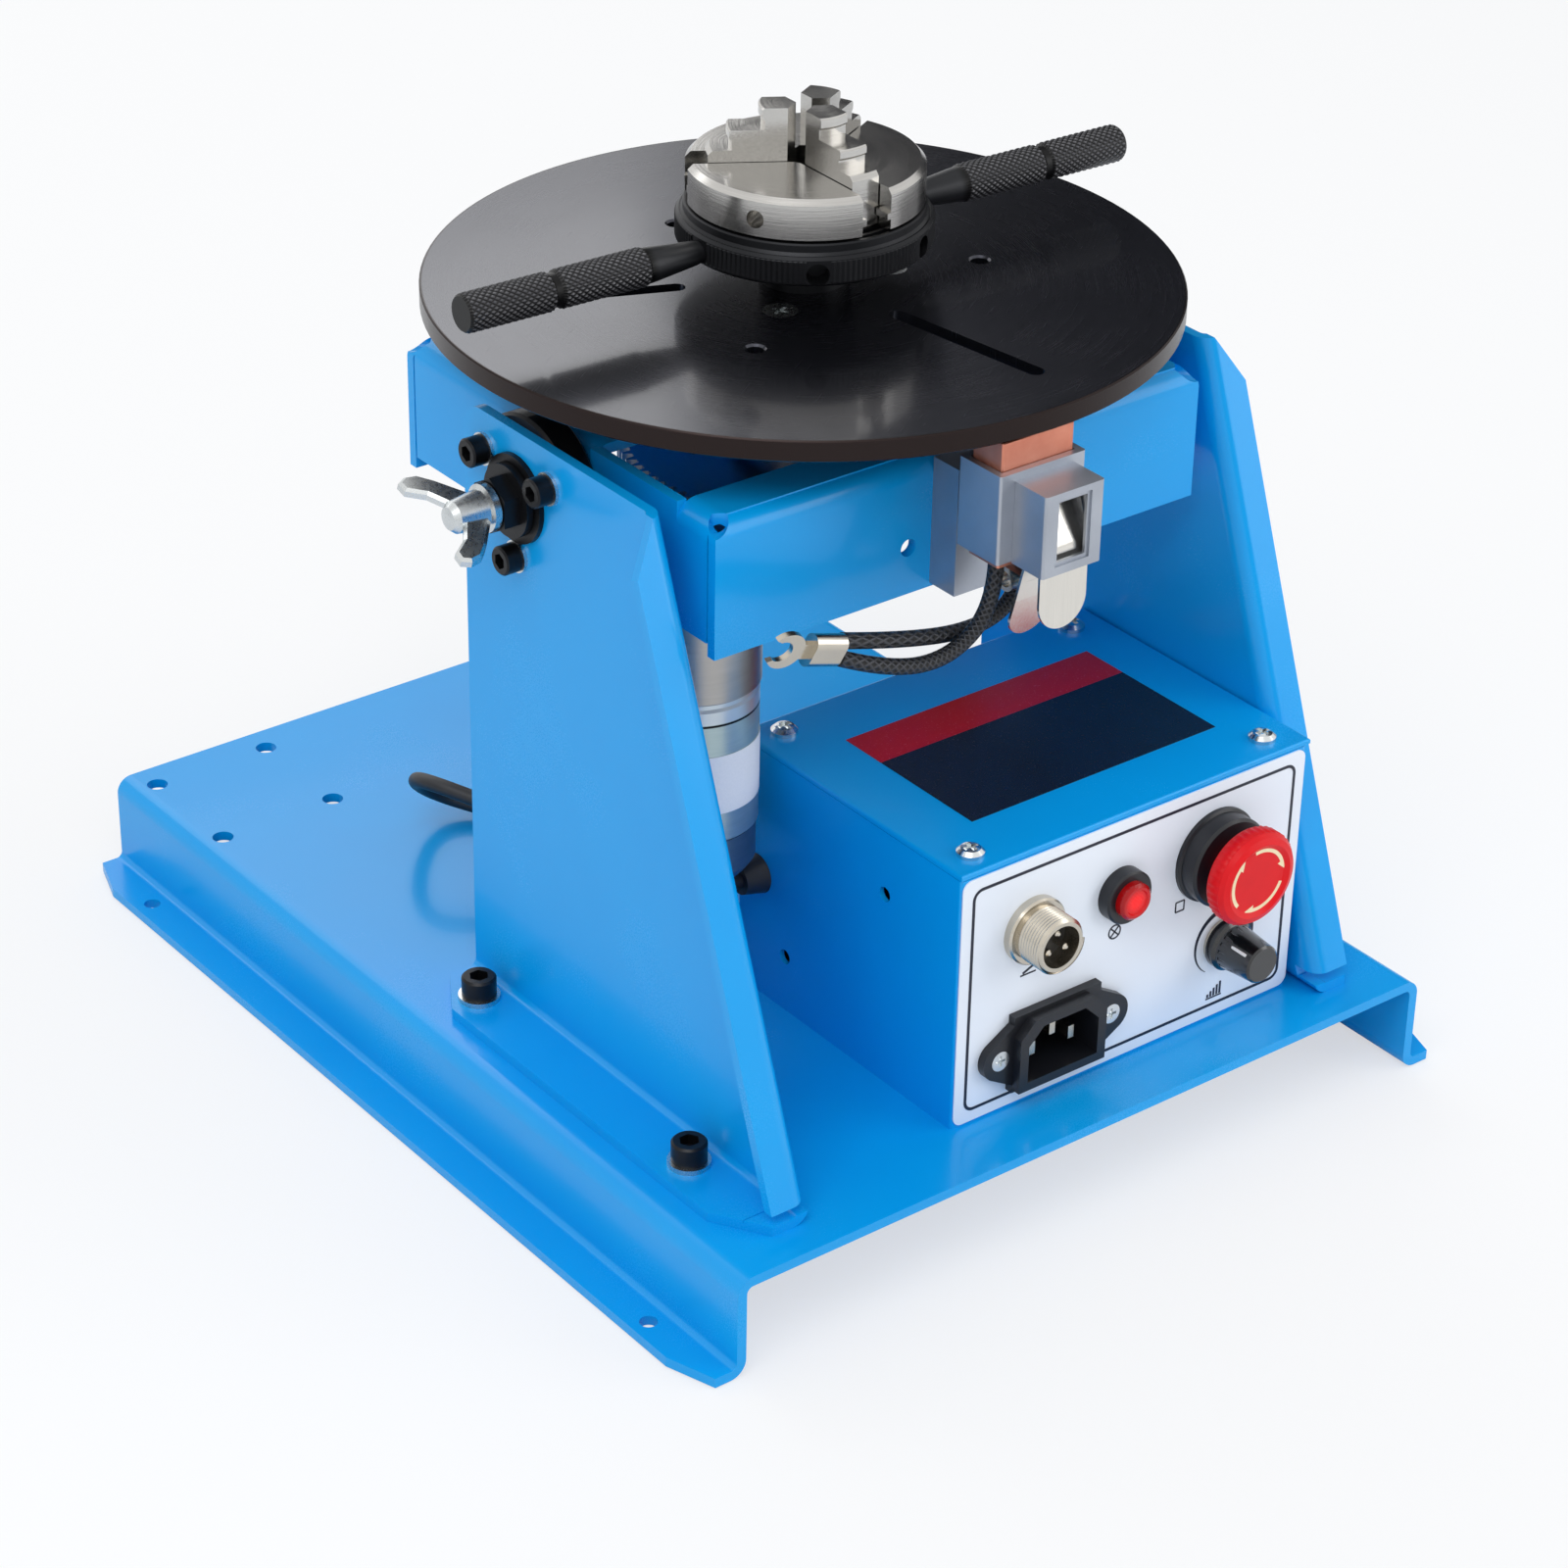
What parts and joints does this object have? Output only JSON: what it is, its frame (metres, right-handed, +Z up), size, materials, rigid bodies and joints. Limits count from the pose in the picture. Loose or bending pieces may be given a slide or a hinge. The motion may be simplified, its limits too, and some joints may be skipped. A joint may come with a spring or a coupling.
{
  "type": "welding positioner",
  "caption": "Bench welding positioner: round slotted turntable with a scroll chuck on a tilting tray between two bent supports, hat-section base and a front control box.",
  "frame": {"origin": "middle of the base's footprint, on the plane it stands on", "axes": "+X to the right seen from the control panel, +Y to the back, +Z up"},
  "size_m": [0.27, 0.319, 0.282],
  "materials": {
    "black_oxide": "black oxide, semi-gloss",
    "black_plastic": "moulded",
    "blue_enamel": "glossy powder coat",
    "board_green": "laminate",
    "braid": "woven",
    "cast_zinc": "cast and machined",
    "copper": "ground copper",
    "dark_table": "blued steel, brushed",
    "gear_steel": "machined",
    "ground_steel": "ground and polished",
    "label_film": "glossy film",
    "motor_grey": "matt",
    "motor_steel": "plated",
    "nickel": "nickel plated",
    "red_lens": "clear red",
    "red_plastic": "moulded",
    "rubber_black": "satin",
    "spring_steel": "bright strip",
    "white_film": "satin film",
    "zinc": "zinc plated"
  },
  "bodies": {
    "base": {"base_plate": "blue_enamel", "left_support": "blue_enamel", "right_support": "blue_enamel", "pivot_flanges": "black_oxide", "pivot_screws": "black_oxide", "flat_washers": "zinc", "foot_bolts": "black_oxide", "control_box": "blue_enamel", "box_lid": "blue_enamel", "box_screws": "zinc", "panel_overlay": "white_film", "lid_label": "label_film", "pedal_socket": "nickel", "socket_insert": "black_plastic", "contact_pins": "nickel", "lamp_bezel": "black_plastic", "lamp_lens": "red_lens", "stop_collar": "black_plastic", "stop_contact": "black_plastic", "potentiometer": "nickel", "power_inlet": "black_plastic", "lead_grommet": "rubber_black", "power_supply": "motor_steel", "speed_board": "board_green", "motor_lead": "rubber_black"},
    "tilt_frame": {"tilt_tray": "blue_enamel", "pivot_studs": "zinc", "stud_nuts": "black_oxide", "bearing_housing": "gear_steel", "spindle_bearings": "ground_steel", "motor_bracket": "black_oxide", "gearbox": "motor_steel", "motor_can": "motor_steel", "motor_end_cap": "motor_grey", "tray_screws": "zinc", "brush_holder": "cast_zinc", "spring_blades": "spring_steel"},
    "wing_nut": {"wing_nut": "zinc"},
    "table": {"turntable": "dark_table", "table_screws": "zinc", "spindle": "gear_steel", "spindle_gear": "gear_steel", "spindle_nut": "black_oxide", "chuck_adapter": "black_oxide", "chuck_body": "ground_steel"},
    "pinion": {"motor_pinion": "gear_steel"},
    "scroll": {"scroll_ring": "black_oxide", "tommy_bars": "black_oxide"},
    "jaw_a": {"jaw_1": "ground_steel"},
    "jaw_b": {"jaw_2": "ground_steel"},
    "jaw_c": {"jaw_3": "ground_steel"},
    "brush": {"copper_brush": "copper", "front_braid": "braid", "rear_braid": "braid", "fork_lug": "nickel"},
    "stop_button": {"stop_button": "red_plastic"},
    "speed_knob": {"speed_knob": "black_plastic"}
  },
  "joints": [
    {"name": "tilt", "type": "hinge", "parent": "base", "child": "tilt_frame", "pos_m": [0, -0.022, 0.1925], "axis": [-1, 0, 0], "range_deg": [0, 90]},
    {"name": "wing_nut_turn", "type": "hinge", "parent": "tilt_frame", "child": "wing_nut", "pos_m": [-0.11, -0.022, 0.1925], "axis": [-1, 0, 0], "range_deg": [0, 90]},
    {"name": "table_spin", "type": "hinge", "parent": "tilt_frame", "child": "table", "pos_m": [0, -0.022, 0.2], "axis": [0, 0, 1], "continuous": true},
    {"name": "pinion_spin", "type": "hinge", "parent": "tilt_frame", "child": "pinion", "pos_m": [-0.057, -0.05, 0.18], "axis": [0, 0, 1], "continuous": true},
    {"name": "scroll_turn", "type": "hinge", "parent": "table", "child": "scroll", "pos_m": [0, -0.022, 0.2472], "axis": [0, 0, 1], "range_deg": [-270, 720]},
    {"name": "jaw_a_slide", "type": "slide", "parent": "table", "child": "jaw_a", "axis": [-0.848, 0.5299, 0], "range_m": [-0.00225, 0.006]},
    {"name": "jaw_b_slide", "type": "slide", "parent": "table", "child": "jaw_b", "axis": [0.8829, 0.4695, 0], "range_m": [-0.00225, 0.006]},
    {"name": "jaw_c_slide", "type": "slide", "parent": "table", "child": "jaw_c", "axis": [-0.0349, -0.9994, 0], "range_m": [-0.00225, 0.006]},
    {"name": "brush_press", "type": "slide", "parent": "tilt_frame", "child": "brush", "axis": [0, 0, 1], "range_m": [-0.003, 0], "stiffness_N_per_m": 500, "springref_m": 0.01},
    {"name": "stop_press", "type": "slide", "parent": "base", "child": "stop_button", "axis": [0, 1, 0], "range_m": [0, 0.003]},
    {"name": "speed_turn", "type": "hinge", "parent": "base", "child": "speed_knob", "pos_m": [0.0625, -0.15, 0.056], "axis": [0, -1, 0], "range_deg": [-150, 120]}
  ],
  "couplings": [
    {"joint": "pinion_spin", "follows": "table_spin", "ratio": -3.5455},
    {"joint": "jaw_a_slide", "follows": "scroll_turn", "m_per_rad": 0.00047746},
    {"joint": "jaw_b_slide", "follows": "scroll_turn", "m_per_rad": 0.00047746},
    {"joint": "jaw_c_slide", "follows": "scroll_turn", "m_per_rad": 0.00047746}
  ]
}
